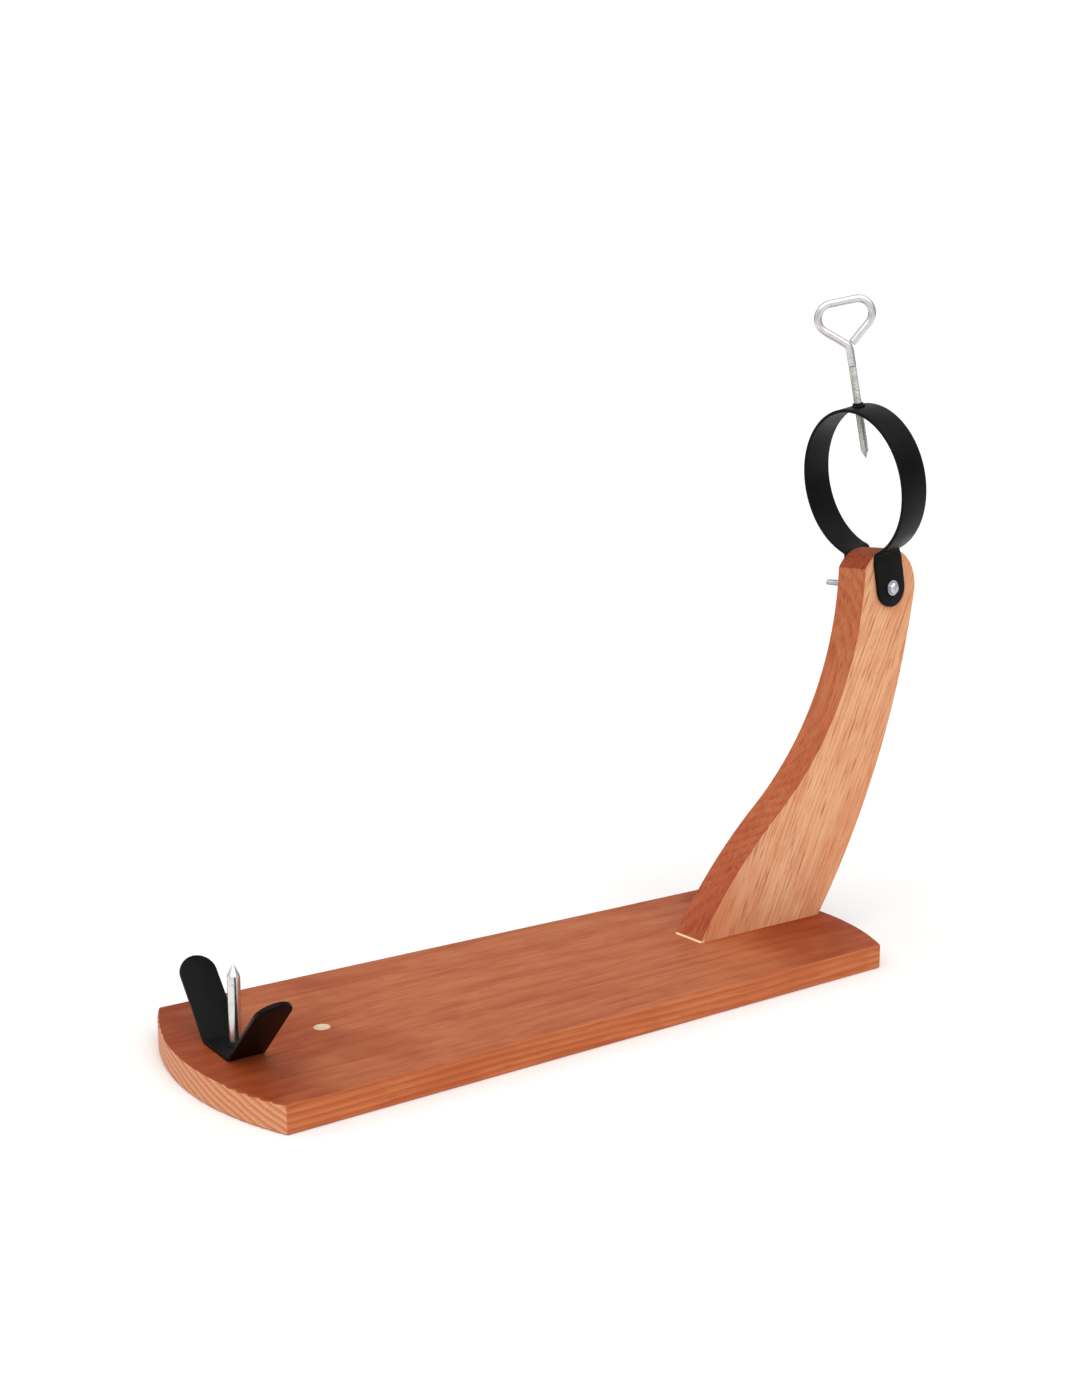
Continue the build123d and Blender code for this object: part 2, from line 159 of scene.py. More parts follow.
def spread(
    tree: Tree, source: Socket, low: float, high: float, to_low: float = 0.0, to_high: float = 1.0
) -> Socket:
    """Map a value smoothly from one span to another.

    Args:
        tree: The node tree.
        source: The value.
        low: Start of the source span.
        high: End of the source span.
        to_low: What the start becomes.
        to_high: What the end becomes.

    Returns:
        The mapped value.
    """
    limits = {"From Min": low, "From Max": high, "To Min": to_low, "To Max": to_high}
    node = add_node(
        tree, "ShaderNodeMapRange", limits, {"Value": source}, interpolation_type="SMOOTHSTEP"
    )
    return node.outputs["Result"]


def blend_colour(
    tree: Tree, mask: Socket, below: Socket | str, above: Socket | str, mode: str = "MIX"
) -> Socket:
    """Lay one colour over another where a mask is high.

    Args:
        tree: The node tree.
        mask: How much of the upper colour shows.
        below: The lower colour, as a socket or a hex code.
        above: The upper colour, as a socket or a hex code.
        mode: The blend mode.

    Returns:
        The blended colour.
    """
    node = add_node(
        tree, "ShaderNodeMix", links={0: mask}, data_type="RGBA", blend_type=mode, clamp_result=True
    )
    for number, colour in ((6, below), (7, above)):
        if isinstance(colour, str):
            node.inputs[number].default_value = linear(colour)
        else:
            tree.links.new(colour, node.inputs[number])
    return node.outputs[2]


def maths(tree: Tree, operation: str, first: Any, second: Any = None) -> Socket:
    """Combine one or two numbers, each a socket or a plain value.

    Args:
        tree: The node tree.
        operation: The Math node's operation.
        first: The first number.
        second: The second number, if the operation takes one.

    Returns:
        The result.
    """
    node = add_node(tree, "ShaderNodeMath", operation=operation)
    for number, value in enumerate(v for v in (first, second) if v is not None):
        if isinstance(value, (int, float)):
            node.inputs[number].default_value = value
        else:
            tree.links.new(value, node.inputs[number])
    return node.outputs[0]


def noise(tree: Tree, vector: Socket, grain_mm: float, detail: float = 3.0) -> Socket:
    """Noise whose blobs are about the given size.

    Args:
        tree: The node tree.
        vector: Where the noise is read.
        grain_mm: The size of a blob in millimetres.
        detail: How many finer octaves are added.

    Returns:
        The noise value.
    """
    values = {"Scale": 1.0 / (grain_mm * MM), "Detail": detail, "Roughness": 0.55}
    return add_node(tree, "ShaderNodeTexNoise", values, {"Vector": vector}).outputs[0]


def new_material(name: str) -> tuple[Material, Tree, bpy.types.Node, Socket]:
    """Make an empty node material.

    Args:
        name: The material's name.

    Returns:
        The material, its tree, its Principled shader and its Object coordinates.
    """
    material = bpy.data.materials.new(name)
    material.use_nodes = True
    tree = material.node_tree
    tree.nodes.clear()
    shader = add_node(tree, "ShaderNodeBsdfPrincipled")
    add_node(tree, "ShaderNodeOutputMaterial", links={0: shader.outputs[0]})
    return material, tree, shader, add_node(tree, "ShaderNodeTexCoord").outputs["Object"]


def dress_shader(
    shader: bpy.types.Node,
    colour: Socket,
    rough: Socket,
    relief: Socket,
    strength: float,
    depth_mm: float,
) -> None:
    """Give a shader its colour, its roughness and its relief.

    Args:
        shader: The Principled shader.
        colour: Its colour.
        rough: Its roughness.
        relief: The height of its surface, from 0 to 1.
        strength: How strongly the relief shows.
        depth_mm: The relief's full depth in millimetres.
    """
    tree = shader.id_data
    values = {"Strength": strength, "Distance": depth_mm * MM}
    bump = add_node(tree, "ShaderNodeBump", values, {"Height": relief}).outputs[0]
    for socket, source in (("Base Color", colour), ("Roughness", rough), ("Normal", bump)):
        tree.links.new(source, shader.inputs[socket])


# ---- finishes
@dataclass(frozen=True)
class Grain:
    """One noise of the wood: its squeeze along the grain, its size, the span that counts, its share."""

    squeeze: float
    size_mm: float
    detail: float
    low: float
    high: float
    share: float = 1.0

    def shown(self, tree: Tree, value: Socket, share: float | None = None) -> Socket:
        """How much the noise darkens the wood: nothing at its low end, its share at its high end."""
        return spread(tree, value, self.low, self.high, to_high=share or self.share)


# Fibres a millimetre wide, which give planed wood its silk.
FIBRES = Grain(0.03, 1.0, 4.0, 0.35, 0.7, 0.3)
# Lines of darker wood, which come and go along the grain.
STREAKS = Grain(0.05, 4.0, 3.0, 0.5, 0.7, 0.35)
# Short dark flecks, as strong as each plank says.
STROKES = Grain(0.07, 1.6, 2.0, 0.56, 0.7)
# Small clouds, where the stain took unevenly.
MOTTLE = Grain(0.45, 11.0, 3.0, 0.42, 0.66, 0.25)
# Large patches, where more stain soaked in.
BLOTCHES = Grain(0.35, 45.0, 3.0, 0.45, 0.68, 0.5)
# The growth rings wander 14 mm, over a length of about 70 mm.
DRIFT_MM = 14.0
DRIFTS_PER_METRE = 14.0
# The wave texture's own factor: at a scale of one, its rings lie tau / 20 apart.
WAVE_FACTOR = 20.0


@dataclass(frozen=True)
class StainedPine:
    """Planed pine under a thin red-brown oil stain: soft grain bands and a satin face."""

    name: str
    early: str
    late: str
    fleck: str
    ring_mm: float
    pith: tuple[float, float, float]
    grain_turn: float
    ring_strength: float
    stroke_strength: float
    seed: float

    def build(self) -> Material:
        """Make the material from growth rings, fibres, flecks and blotches of stain.

        Returns:
            The finished material.
        """
        material, tree, shader, place = new_material(self.name)
        rotation = {"Rotation": (0.0, self.grain_turn, 0.0)}
        turned = add_node(tree, "ShaderNodeMapping", rotation, {"Vector": place}).outputs[0]
        late = self.late_wood(tree, turned)
        fibres, streaks, strokes, mottle, blotches = (
            noise(tree, self.stretched(tree, turned, grain.squeeze), grain.size_mm, grain.detail)
            for grain in (FIBRES, STREAKS, STROKES, MOTTLE, BLOTCHES)
        )
        fading = spread(tree, streaks, 0.35, 0.65, to_low=0.3)
        band = maths(tree, "MULTIPLY", maths(tree, "MULTIPLY", late, fading), self.ring_strength)
        depth = maths(tree, "ADD", band, FIBRES.shown(tree, fibres))
        depth = maths(tree, "ADD", depth, MOTTLE.shown(tree, mottle))
        colour = blend_colour(tree, depth, self.early, self.late)
        colour = blend_colour(tree, STREAKS.shown(tree, streaks), colour, self.late)
        flecks = STROKES.shown(tree, strokes, self.stroke_strength)
        colour = blend_colour(tree, flecks, colour, self.fleck)
        colour = blend_colour(tree, BLOTCHES.shown(tree, blotches), colour, self.late)
        colour = self.local_tones(tree, place, colour, late)
        rough = spread(tree, fibres, 0.3, 0.7, to_low=0.5, to_high=0.64)
        relief = maths(tree, "ADD", fibres, maths(tree, "MULTIPLY", late, 0.5))
        dress_shader(shader, colour, rough, relief, strength=0.25, depth_mm=0.1)
        shader.inputs["Specular IOR Level"].default_value = 0.2
        return material

    def late_wood(self, tree: Tree, turned: Socket) -> Socket:
        """Mask of the dense part of each growth ring, which comes slowly and ends sharply.

        Args:
            tree: The node tree.
            turned: Coordinates with X along the grain.

        Returns:
            The mask, which is high in late wood.
        """
        drift = add_node(
            tree,
            "ShaderNodeTexNoise",
            {"Scale": DRIFTS_PER_METRE, "Detail": 1.5, "Roughness": 0.5},
            {"Vector": self.stretched(tree, turned, 0.3)},
        ).outputs["Color"]
        shift = add_node(
            tree,
            "ShaderNodeVectorMath",
            {1: (0.0, DRIFT_MM * MM, DRIFT_MM * MM), 2: tuple(-part for part in self.pith)},
            {0: drift},
            operation="MULTIPLY_ADD",
        ).outputs[0]
        along = self.stretched(tree, turned, 0.05)
        log_place = add_node(tree, "ShaderNodeVectorMath", links={0: along, 1: shift}, operation="ADD")
        scale = math.tau / (WAVE_FACTOR * self.ring_mm * MM)
        rings = add_node(
            tree,
            "ShaderNodeTexWave",
            {"Scale": scale, "Distortion": 1.6, "Detail": 2.0},
            {"Vector": log_place.outputs[0]},
            wave_type="RINGS",
            rings_direction="X",
            wave_profile="SAW",
        ).outputs["Fac"]
        slow_start = spread(tree, rings, 0.2, 0.92)
        sharp_end = spread(tree, rings, 1.0, 0.94)
        return maths(tree, "MULTIPLY", slow_start, sharp_end)

    def stretched(self, tree: Tree, vector: Socket, along: float) -> Socket:
        """Squeeze the grain direction so that patterns grow long in it.

        Args:
            tree: The node tree.
            vector: Coordinates with X along the grain.
            along: The factor on X.

        Returns:
            The squeezed coordinates.
        """
        values = {"Scale": (along, 1.0, 1.0), "Location": (self.seed, 0.0, 0.0)}
        return add_node(tree, "ShaderNodeMapping", values, {"Vector": vector}).outputs[0]

    def local_tones(self, tree: Tree, place: Socket, colour: Socket, late: Socket) -> Socket:
        """Tone single faces and spots; the plain plank has none."""
        return colour


def coordinate(tree: Tree, place: Socket, axis: int) -> Socket:
    """One coordinate of a place or a direction."""
    return add_node(tree, "ShaderNodeSeparateXYZ", links={0: place}).outputs[axis]


def facing(tree: Tree, axis: int, low: float, high: float) -> Socket:
    """Mask of the faces that look along one axis, either way.

    Args:
        tree: The node tree.
        axis: The axis.
        low: How squarely a face looks along it where the mask starts, from 0 to 1.
        high: How squarely where the mask is full.

    Returns:
        The mask.
    """
    normal = add_node(tree, "ShaderNodeTexCoord").outputs["Normal"]
    return spread(tree, maths(tree, "ABSOLUTE", coordinate(tree, normal, axis)), low, high)


@dataclass(frozen=True)
class Spot:
    """A round spot of another tone, through the board's whole thickness."""

    centre: tuple[float, float]
    radius_mm: float
    tone: str
    soft_mm: float = 0.15


@dataclass(frozen=True)
class BoardPine(StainedPine):
    """The board's wood: paler sawn ends, a top that grows darker toward both ends, and round spots."""

    top_tone: str
    toward_ends_tone: str
    edge_tone: str
    end_early: str
    end_late: str
    spots: tuple[Spot, ...]
    edge_lines: float = 0.45
    end_lines: float = 0.65
    end_pores: float = 0.35
    pore_mm: float = 0.9
    ends_wander_mm: float = 70.0
    ends_from: float = 0.13
    ends_to: float = 0.27

    def local_tones(self, tree: Tree, place: Socket, colour: Socket, late: Socket) -> Socket:
        """Tone the top, the long edges and the sawn ends, and add the spots.

        Args:
            tree: The node tree.
            place: Object coordinates.
            colour: The plank's colour so far.
            late: Where the dense part of each growth ring lies.

        Returns:
            The colour with its tones.
        """
        # The top grows darker toward both ends: a ramp on the distance from the middle along X, with a
        # wandering edge.
        reach = maths(tree, "ABSOLUTE", coordinate(tree, place, X))
        patches = noise(tree, place, self.ends_wander_mm, 2.0)
        wander = spread(tree, patches, 0.3, 0.7, to_low=-0.05, to_high=0.05)
        toward_ends = spread(tree, maths(tree, "ADD", reach, wander), self.ends_from, self.ends_to)
        top_tone = blend_colour(tree, toward_ends, self.top_tone, self.toward_ends_tone)
        colour = blend_colour(tree, facing(tree, Z, 0.5, 0.8), colour, top_tone, "MULTIPLY")
        edge = facing(tree, Y, 0.7, 0.9)
        colour = blend_colour(tree, edge, colour, self.edge_tone, "MULTIPLY")
        lines = maths(tree, "MULTIPLY", edge, maths(tree, "MULTIPLY", late, self.edge_lines))
        colour = blend_colour(tree, lines, colour, self.fleck)
        pores = spread(tree, noise(tree, place, self.pore_mm), 0.4, 0.7, to_high=self.end_pores)
        lined = maths(tree, "ADD", maths(tree, "MULTIPLY", late, self.end_lines), pores)
        sawn = blend_colour(tree, lined, self.end_early, self.end_late)
        colour = blend_colour(tree, facing(tree, X, 0.6, 0.8), colour, sawn)
        flat = add_node(
            tree, "ShaderNodeVectorMath", {1: (1.0, 1.0, 0.0)}, {0: place}, operation="MULTIPLY"
        ).outputs[0]
        for spot in self.spots:
            away = add_node(
                tree, "ShaderNodeVectorMath", {1: (*spot.centre, 0.0)}, {0: flat}, operation="DISTANCE"
            ).outputs["Value"]
            inside = spread(tree, away, spot.radius_mm * MM, (spot.radius_mm - spot.soft_mm) * MM)
            colour = blend_colour(tree, inside, colour, spot.tone)
        return colour


@dataclass(frozen=True)
class ArmPine(StainedPine):
    """The arm's wood: pale flat sides, a redder sawn front and dark end grain on the head."""

    front_tone: str
    low_front_tone: str
    crown_tone: str
    bare: str
    ridge_height: float
    foot_height: float
    toe_x: float
    climb_share: float = 0.75
    ridge_soft_mm: float = 0.4
    rub_height_mm: tuple[float, float] = (0.9, 1.5)
    rub_reach_mm: tuple[float, float] = (2.5, 5.0)

    def local_tones(self, tree: Tree, place: Socket, colour: Socket, late: Socket) -> Socket:
        """Tone the sawn edges and the head, and bare the toe's rubbed corner.

        Args:
            tree: The node tree.
            place: Object coordinates.
            colour: The plank's colour so far.
            late: Where the dense part of each growth ring lies; not used.

        Returns:
            The colour with its tones.
        """
        height = coordinate(tree, place, Z)
        climb = spread(tree, height, self.foot_height, self.ridge_height * self.climb_share)
        tone = blend_colour(tree, climb, self.low_front_tone, self.front_tone)
        soft = self.ridge_soft_mm * MM
        above = spread(tree, height, self.ridge_height - soft, self.ridge_height + soft)
        tone = blend_colour(tree, above, tone, self.crown_tone)
        colour = blend_colour(tree, facing(tree, Y, 0.8, 0.5), colour, tone, "MULTIPLY")
        full, none = (self.foot_height + rise * MM for rise in self.rub_height_mm)
        low = spread(tree, height, none, full)
        full, none = (self.toe_x + reach * MM for reach in self.rub_reach_mm)
        near_toe = spread(tree, coordinate(tree, place, X), none, full)
        return blend_colour(tree, maths(tree, "MULTIPLY", low, near_toe), colour, self.bare)


@dataclass(frozen=True)
class BakedEnamel:
    """Black stoving enamel on steel strip: a deep satin skin with faint orange peel."""

    name: str = "satin_black_stoving_enamel"
    deep: str = "#050505"
    dusty: str = "#0b0b0b"
    cloud_mm: float = 22.0
    peel_mm: float = 1.3

    def build(self) -> Material:
        """Make the material: dusty clouds on black, and peel in roughness and bump.

        Returns:
            The finished material.
        """
        material, tree, shader, place = new_material(self.name)
        cloud = noise(tree, place, self.cloud_mm, 4.0)
        peel = noise(tree, place, self.peel_mm, 2.0)
        dust = spread(tree, cloud, 0.4, 0.7, to_high=0.8)
        colour = blend_colour(tree, dust, self.deep, self.dusty)
        rough = spread(tree, cloud, 0.35, 0.7, to_low=0.34, to_high=0.46)
        dress_shader(shader, colour, rough, peel, strength=0.15, depth_mm=0.03)
        shader.inputs["Specular IOR Level"].default_value = 0.1
        return material


@dataclass(frozen=True)
class PlatedSteel:
    """Steel with a metal face: zinc plate, turned steel or dull cut thread, by its settings."""

    name: str
    bright: str
    dull: str
    smooth: float
    rough: float
    line_mm: float
    line_depth_mm: float
    cloud_mm: float = 6.0
    line_stretch: float = 0.15

    def build(self) -> Material:
        """Make the material: cloudy plating over fine tool lines that cross the length.

        Returns:
            The finished material.
        """
        material, tree, shader, place = new_material(self.name)
        cloud = noise(tree, place, self.cloud_mm, 4.0)
        values = {"Scale": (self.line_stretch, self.line_stretch, 1.0)}
        squeezed = add_node(tree, "ShaderNodeMapping", values, {"Vector": place}).outputs[0]
        lines = noise(tree, squeezed, self.line_mm)
        clouded = spread(tree, cloud, 0.4, 0.68, to_high=0.6)
        lined = spread(tree, lines, 0.45, 0.7, to_high=0.4)
        dulled = maths(tree, "ADD", clouded, lined)
        colour = blend_colour(tree, dulled, self.bright, self.dull)
        rough = spread(tree, cloud, 0.35, 0.7, self.smooth, self.rough)
        dress_shader(shader, colour, rough, lines, strength=0.12, depth_mm=self.line_depth_mm)
        shader.inputs["Metallic"].default_value = 1.0
        return material


# Bright zinc on drawn rod: almost white, with a soft sheen.
WIRE_ZINC = PlatedSteel("bright_zinc_drawn_rod", "#d8d5d7", "#c9c6c8", 0.3, 0.38, 2.5, 0.0003)
# Zinc on small cold-headed hardware: a little bluer and duller.
FASTENER_ZINC = PlatedSteel("bright_zinc_cold_headed", "#c9cad2", "#adafb8", 0.22, 0.32, 1.2, 0.0008)
# A spike turned on a lathe: fine rings round it break the highlight.
TURNED_STEEL = PlatedSteel("turned_bright_steel", "#dededc", "#cccdcb", 0.2, 0.25, 1.5, 0.0004)
# Cut thread dulled by handling: grey with a green cast.
THREAD_STEEL = PlatedSteel("dulled_cut_thread_steel", "#cbcbc4", "#b0b0a8", 0.38, 0.5, 1.0, 0.001)


# ---- surfaces
def add_object(name: str, data: bpy.types.ID) -> bpy.types.Object:
    """Put a mesh, a lamp or a camera in the scene.

    Args:
        name: The object's name.
        data: What it shows.

    Returns:
        The new object.
    """
    thing = bpy.data.objects.new(name, data)
    bpy.context.scene.collection.objects.link(thing)
    return thing


def skin(name: str, rows: Rings, sharp_deg: float = 35.0) -> bpy.types.Object:
    """Cover rings of points with a closed mesh and put it in the scene.

    The rings are joined by a grid of quads, and each open end by a fan round its middle point.
    The mesh is turned inside out if its signed volume, the sum of the triangles' triple products,
    comes out negative.

    Args:
        name: The object's name.
        rows: The rings, in millimetres.
        sharp_deg: Edges that bend more than this stay crisp.

    Returns:
        The new object, at the origin.
    """
    count, around, _ = rows.shape
    ends = rows[[0, -1]].mean(axis=1)
    points = np.concatenate([rows.reshape(-1, 3), ends]) * MM
    ring, step = np.meshgrid(np.arange(count - 1), np.arange(around), indexing="ij")
    following = (step + 1) % around
    lower, upper = ring * around, (ring + 1) * around
    corners = [lower + step, lower + following, upper + following, upper + step]
    quads = np.stack(corners, axis=-1).reshape(-1, 4)
    first, last = count * around, count * around + 1
    spin = np.arange(around)
    turned = (spin + 1) % around
    start_fan = np.stack([turned, spin, np.full(around, first)], axis=-1)
    end_base = (count - 1) * around
    end_fan = np.stack([end_base + spin, end_base + turned, np.full(around, last)], axis=-1)
    triangles = np.concatenate([quads[:, [0, 1, 2]], quads[:, [0, 2, 3]], start_fan, end_fan])
    one, two, three = points[triangles].transpose(1, 0, 2)
    flip = -1 if np.einsum("ij,ij->", one, np.cross(two, three)) < 0 else 1
    faces = quads[:, ::flip].tolist() + start_fan[:, ::flip].tolist() + end_fan[:, ::flip].tolist()
    mesh = bpy.data.meshes.new(name)
    mesh.from_pydata(points.tolist(), [], faces)
    mesh.polygons.foreach_set("use_smooth", np.ones(len(faces), dtype=bool))
    mesh.set_sharp_from_angle(angle=math.radians(sharp_deg))
    mesh.update()
    return add_object(name, mesh)


def unit(vectors: Array) -> Array:
    """The vectors at length one."""
    return vectors / np.linalg.norm(vectors, axis=-1, keepdims=True)


def square_to(axis: Array) -> tuple[Array, Array]:
    """Two unit directions square to an axis and to each other.

    Args:
        axis: A unit vector.

    Returns:
        The two directions.
    """
    helper = ACROSS if abs(axis[1]) < 0.9 else UP
    first = unit(np.cross(helper, axis))
    return first, np.cross(axis, first)


def turned_rows(origin: Array, axis: Array, heights: Array, radii: Array) -> Rings:
    """Rings round an axis: each point is origin plus height along and radius across the axis.

    Args:
        origin: Where height is zero, in millimetres.
        axis: The unit axis.
        heights: One height for each ring.
        radii: Radii of shape (rings, points round a ring).

    Returns:
        The rings.
    """
    first, second = square_to(axis)
    angle = np.linspace(0.0, math.tau, radii.shape[1], endpoint=False)
    spoke = np.cos(angle)[:, None] * first + np.sin(angle)[:, None] * second
    return origin + heights[:, None, None] * axis + radii[..., None] * spoke


def softened(corners: list[tuple[float, float]], step: float, reach: float) -> Array:
    """A profile through corner points, walked in even steps, with its corners rounded.

    The walk is the running length of the corner line. A moving average over the reach rounds each
    corner, and the ends are carried on in a straight line so that they stay in place.

    Args:
        corners: The profile's corner points.
        step: The walk's step.
        reach: The length that the average spans.

    Returns:
        Points of shape (count, 2).
    """
    line = np.array(corners, dtype=float)
    length = np.concatenate([[0.0], np.cumsum(np.linalg.norm(np.diff(line, axis=0), axis=1))])
    walk = np.linspace(0.0, length[-1], max(int(round(length[-1] / step)), 2) + 1)
    points = np.stack([np.interp(walk, length, line[:, i]) for i in range(2)], axis=1)
    half = max(int(round(reach / step)) // 2, 1)
    before = 2 * points[0] - points[half:0:-1]
    after = 2 * points[-1] - points[-2 : -half - 2 : -1]
    longer = np.concatenate([before, points, after])
    kernel = np.ones(2 * half + 1) / (2 * half + 1)
    return np.stack([np.convolve(longer[:, i], kernel, mode="valid") for i in range(2)], axis=1)


def strip_rows(
    line: Array,
    origin: Array,
    up_way: Array,
    wide_way: Array,
    half_width: Array,
    thickness: float,
    edge: float,
) -> Rings:
    """Rings of a flat strip along a line: a rounded rectangle, as wide as the strip is there.

    The line lies in the plane of ACROSS and the upward direction. A ring's point is the line's
    point, plus the wide direction times (half width less the edge radius, with the corner's sign,
    plus the edge radius times a cosine), plus the direction through the thickness in the same way
    with a sine. At a round end the half width falls to nothing.

    Args:
        line: The strip's middle line, of shape (rings, 2): across and up.
        origin: Where the line has its zero.
        up_way: The line's unit upward direction.
        wide_way: The unit direction across the strip.
        half_width: Half the width at each ring.
        thickness: The strip's thickness.
        edge: The radius of its long edges.

    Returns:
        The rings.
    """
    ahead = unit(np.gradient(line, axis=0))
    centre = origin + line[:, :1] * ACROSS + line[:, 1:] * up_way
    thick_way = -ahead[:, 1:] * ACROSS + ahead[:, :1] * up_way
    per_corner = 5
    quarter = np.linspace(0.0, math.pi / 2, per_corner)
    angle = np.concatenate([quarter + turn * math.pi / 2 for turn in range(4)])
    wide_sign = np.repeat([1.0, -1.0, -1.0, 1.0], per_corner)
    thick_sign = np.repeat([1.0, 1.0, -1.0, -1.0], per_corner)
    radius = np.minimum(edge, half_width)[:, None]
    wide = (half_width[:, None] - radius) * wide_sign + radius * np.cos(angle)
    thick = (thickness / 2 - edge) * thick_sign + edge * np.sin(angle)
    thick = np.broadcast_to(thick, wide.shape)
    return centre[:, None] + wide[..., None] * wide_way + thick[..., None] * thick_way[:, None]


def weld_rows(
    origin: Array, axis: Array, corners: list[tuple[float, float]], flare_top: float, ripple: float
) -> Rings:
    """Turned rings whose foot is a weld bead: the radius swells in ripples round the axis.

    The swell is the ripple height times the sine's size over six turns, so there are twelve, a
    little uneven. It fades with height and leaves the bore round.

    Args:
        origin: Where height is zero.
        axis: The unit axis.
        corners: The profile's corners, as radius and height pairs.
        flare_top: Height where the ripples have faded out.
        ripple: The ripples' height.

    Returns:
        The rings.
    """
    bore_clear, turns, unevenness = 0.3, 6.0, 0.4
    profile = softened(corners, PROFILE_STEP, 0.6)
    angle = np.linspace(0.0, math.tau, WELD_AROUND, endpoint=False)
    fade = np.clip(1.0 - profile[:, 1] / flare_top, 0.0, 1.0)[:, None]
    outer = (profile[:, 0] > profile[:, 0].min() + bore_clear)[:, None]
    swell = ripple * fade * outer * np.abs(np.sin(turns * angle + unevenness * np.sin(angle)))
    return turned_rows(origin, axis, profile[:, 1], profile[:, :1] + swell)


def threaded_radii(heights: Array, radius: float, pitch: float, depth: float) -> Array:
    """Radii of a right-hand thread: a cosine of height in pitches less the share of a turn.

    Args:
        heights: Heights of the rings.
        radius: The thread's outer radius.
        pitch: Advance for each turn.
        depth: How far the root lies below the crest.

    Returns:
        Radii of shape (rings, points round a ring).
    """
    turn = np.arange(THREAD_AROUND) / THREAD_AROUND
    phase = math.tau * (heights[:, None] / pitch - turn)
    return radius - depth * (0.5 + 0.5 * np.cos(phase))


def finish_piece(
    piece: bpy.types.Object, material: Material, body: Body, slot: Slot, *nodes: str
) -> None:
    """Dress a new piece, tie it to its body and let it stand for CAD nodes.

    Args:
        piece: The new piece.
        material: Its finish.
        body: The body it rides on.
        slot: The record's material slot; not used.
        nodes: The CAD nodes it replaces.
    """
    piece.data.materials.append(material)
    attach(piece, body.value)
    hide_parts(*nodes)
    LOG.info("%s: %d faces on %s", piece.name, len(piece.data.polygons), body.value)


# ---- sub-assemblies
@dataclass
class Places:
    """Places read from the frame, in millimetres."""

    pivot: Array
    screw_foot: Array
    screw_axis: Array

    @classmethod
    def read(cls, record: dict[str, Any]) -> "Places":
        """Read the pivot and the clamping screw's line from the record's joints.

        Args:
            record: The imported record.

        Returns:
            The places.
        """
        joints = {joint["name"]: joint for joint in record["behaviour"]["joints"]}
        turn = joints["screw_turn"]
        return cls(
            pivot=np.array(joints["ring_pivot"]["pos_m"]) / MM,
            screw_foot=np.array(turn["pos_m"]) / MM,
            screw_axis=unit(np.array(turn["axis"], dtype=float)),
        )


@dataclass
class ClampRing:
    """The strap ring with its ears, and the welded boss on its top."""

    places: Places
    width: float = 102.0
    height: float = 118.0
    bend_height: float = 28.6
    tilt: float = 12.2
    thickness: float = 2.5
    strap_width: float = 26.0
    ear_width: float = 30.0
    ear_outer: float = 16.8
    taper_start: float = 22.0
    taper_end: float = 32.0
    bend_reach: float = 3.0
    line_step: float = 0.4
    edge: float = 0.45
    boss_height: float = 2.4
    boss_radius: float = 4.1
    boss_foot_radius: float = 5.2
    boss_root: float = -2.2
    weld_height: float = 0.4
    neck_height: float = 1.3
    bore_depth: float = 1.2
    screw_radius: float = 3.0

    def middle_line(self) -> Array:
        """The strip's middle line in the ring's plane.

        It climbs one ear, follows an ellipse (sine across, cosine up) over the top, and comes
        down the other ear. Even steps and a moving average round the two bends.

        Returns:
            Points of shape (count, 2): across and up from the pivot.
        """
        ear = self.ear_outer - self.thickness / 2
        across = (self.width - self.thickness) / 2
        up = (self.height - self.thickness) / 2
        outer_share = math.sqrt(1 - (2 * self.ear_outer / self.width) ** 2)
        centre = self.bend_height + self.height / 2 * outer_share
        low = math.pi - math.asin(ear / across)
        angle = np.linspace(-low, low, ELLIPSE_POINTS)
        ellipse = np.stack([across * np.sin(angle), centre + up * np.cos(angle)], axis=1)
        foot = -self.ear_width / 2
        corners = [(-ear, foot), *map(tuple, ellipse), (ear, foot)]
        return softened(corners, self.line_step, self.bend_reach)

    def half_widths(self, up: Array) -> Array:
        """Half the strip's width by its height above the pivot.

        The ear's foot is a half circle, so its half width is the root of the ear radius squared
        less the depth squared. Above, the width runs in a straight line from ear to strap.

        Args:
            up: Heights above the pivot.

        Returns:
            Half widths.
        """
        ear = self.ear_width / 2
        foot = np.sqrt(np.clip(ear**2 - np.minimum(up, 0.0) ** 2, 0.0, None))
        body = np.interp(up, [self.taper_start, self.taper_end], [ear, self.strap_width / 2])
        return np.minimum(foot, body)

    def build(self, enamel: Material) -> None:
        """Make the strap and the boss.

        Args:
            enamel: The black finish.
        """
        lean = math.radians(self.tilt)
        axis = np.array([math.cos(lean), 0.0, math.sin(lean)])
        up_way = np.array([-math.sin(lean), 0.0, math.cos(lean)])
        line = self.middle_line()
        widths = self.half_widths(line[:, 1])
        pivot = self.places.pivot
        rows = strip_rows(line, pivot, up_way, axis, widths, self.thickness, self.edge)
        finish_piece(skin("ring_strap_bent", rows), enamel, Body.RING, Slot.BLACK, "ring_strap")

        corners = [
            (self.boss_foot_radius, self.boss_root),
            (self.boss_foot_radius, self.weld_height),
            (self.boss_radius, self.neck_height),
            (self.boss_radius, self.boss_height),
            (self.screw_radius, self.boss_height),
            (self.screw_radius, self.boss_height - self.bore_depth),
        ]
        foot, axis = self.places.screw_foot, self.places.screw_axis
        boss = skin("ring_boss_welded", weld_rows(foot, axis, corners, flare_top=1.4, ripple=0.16))
        finish_piece(boss, enamel, Body.RING, Slot.BLACK, "ring_boss")


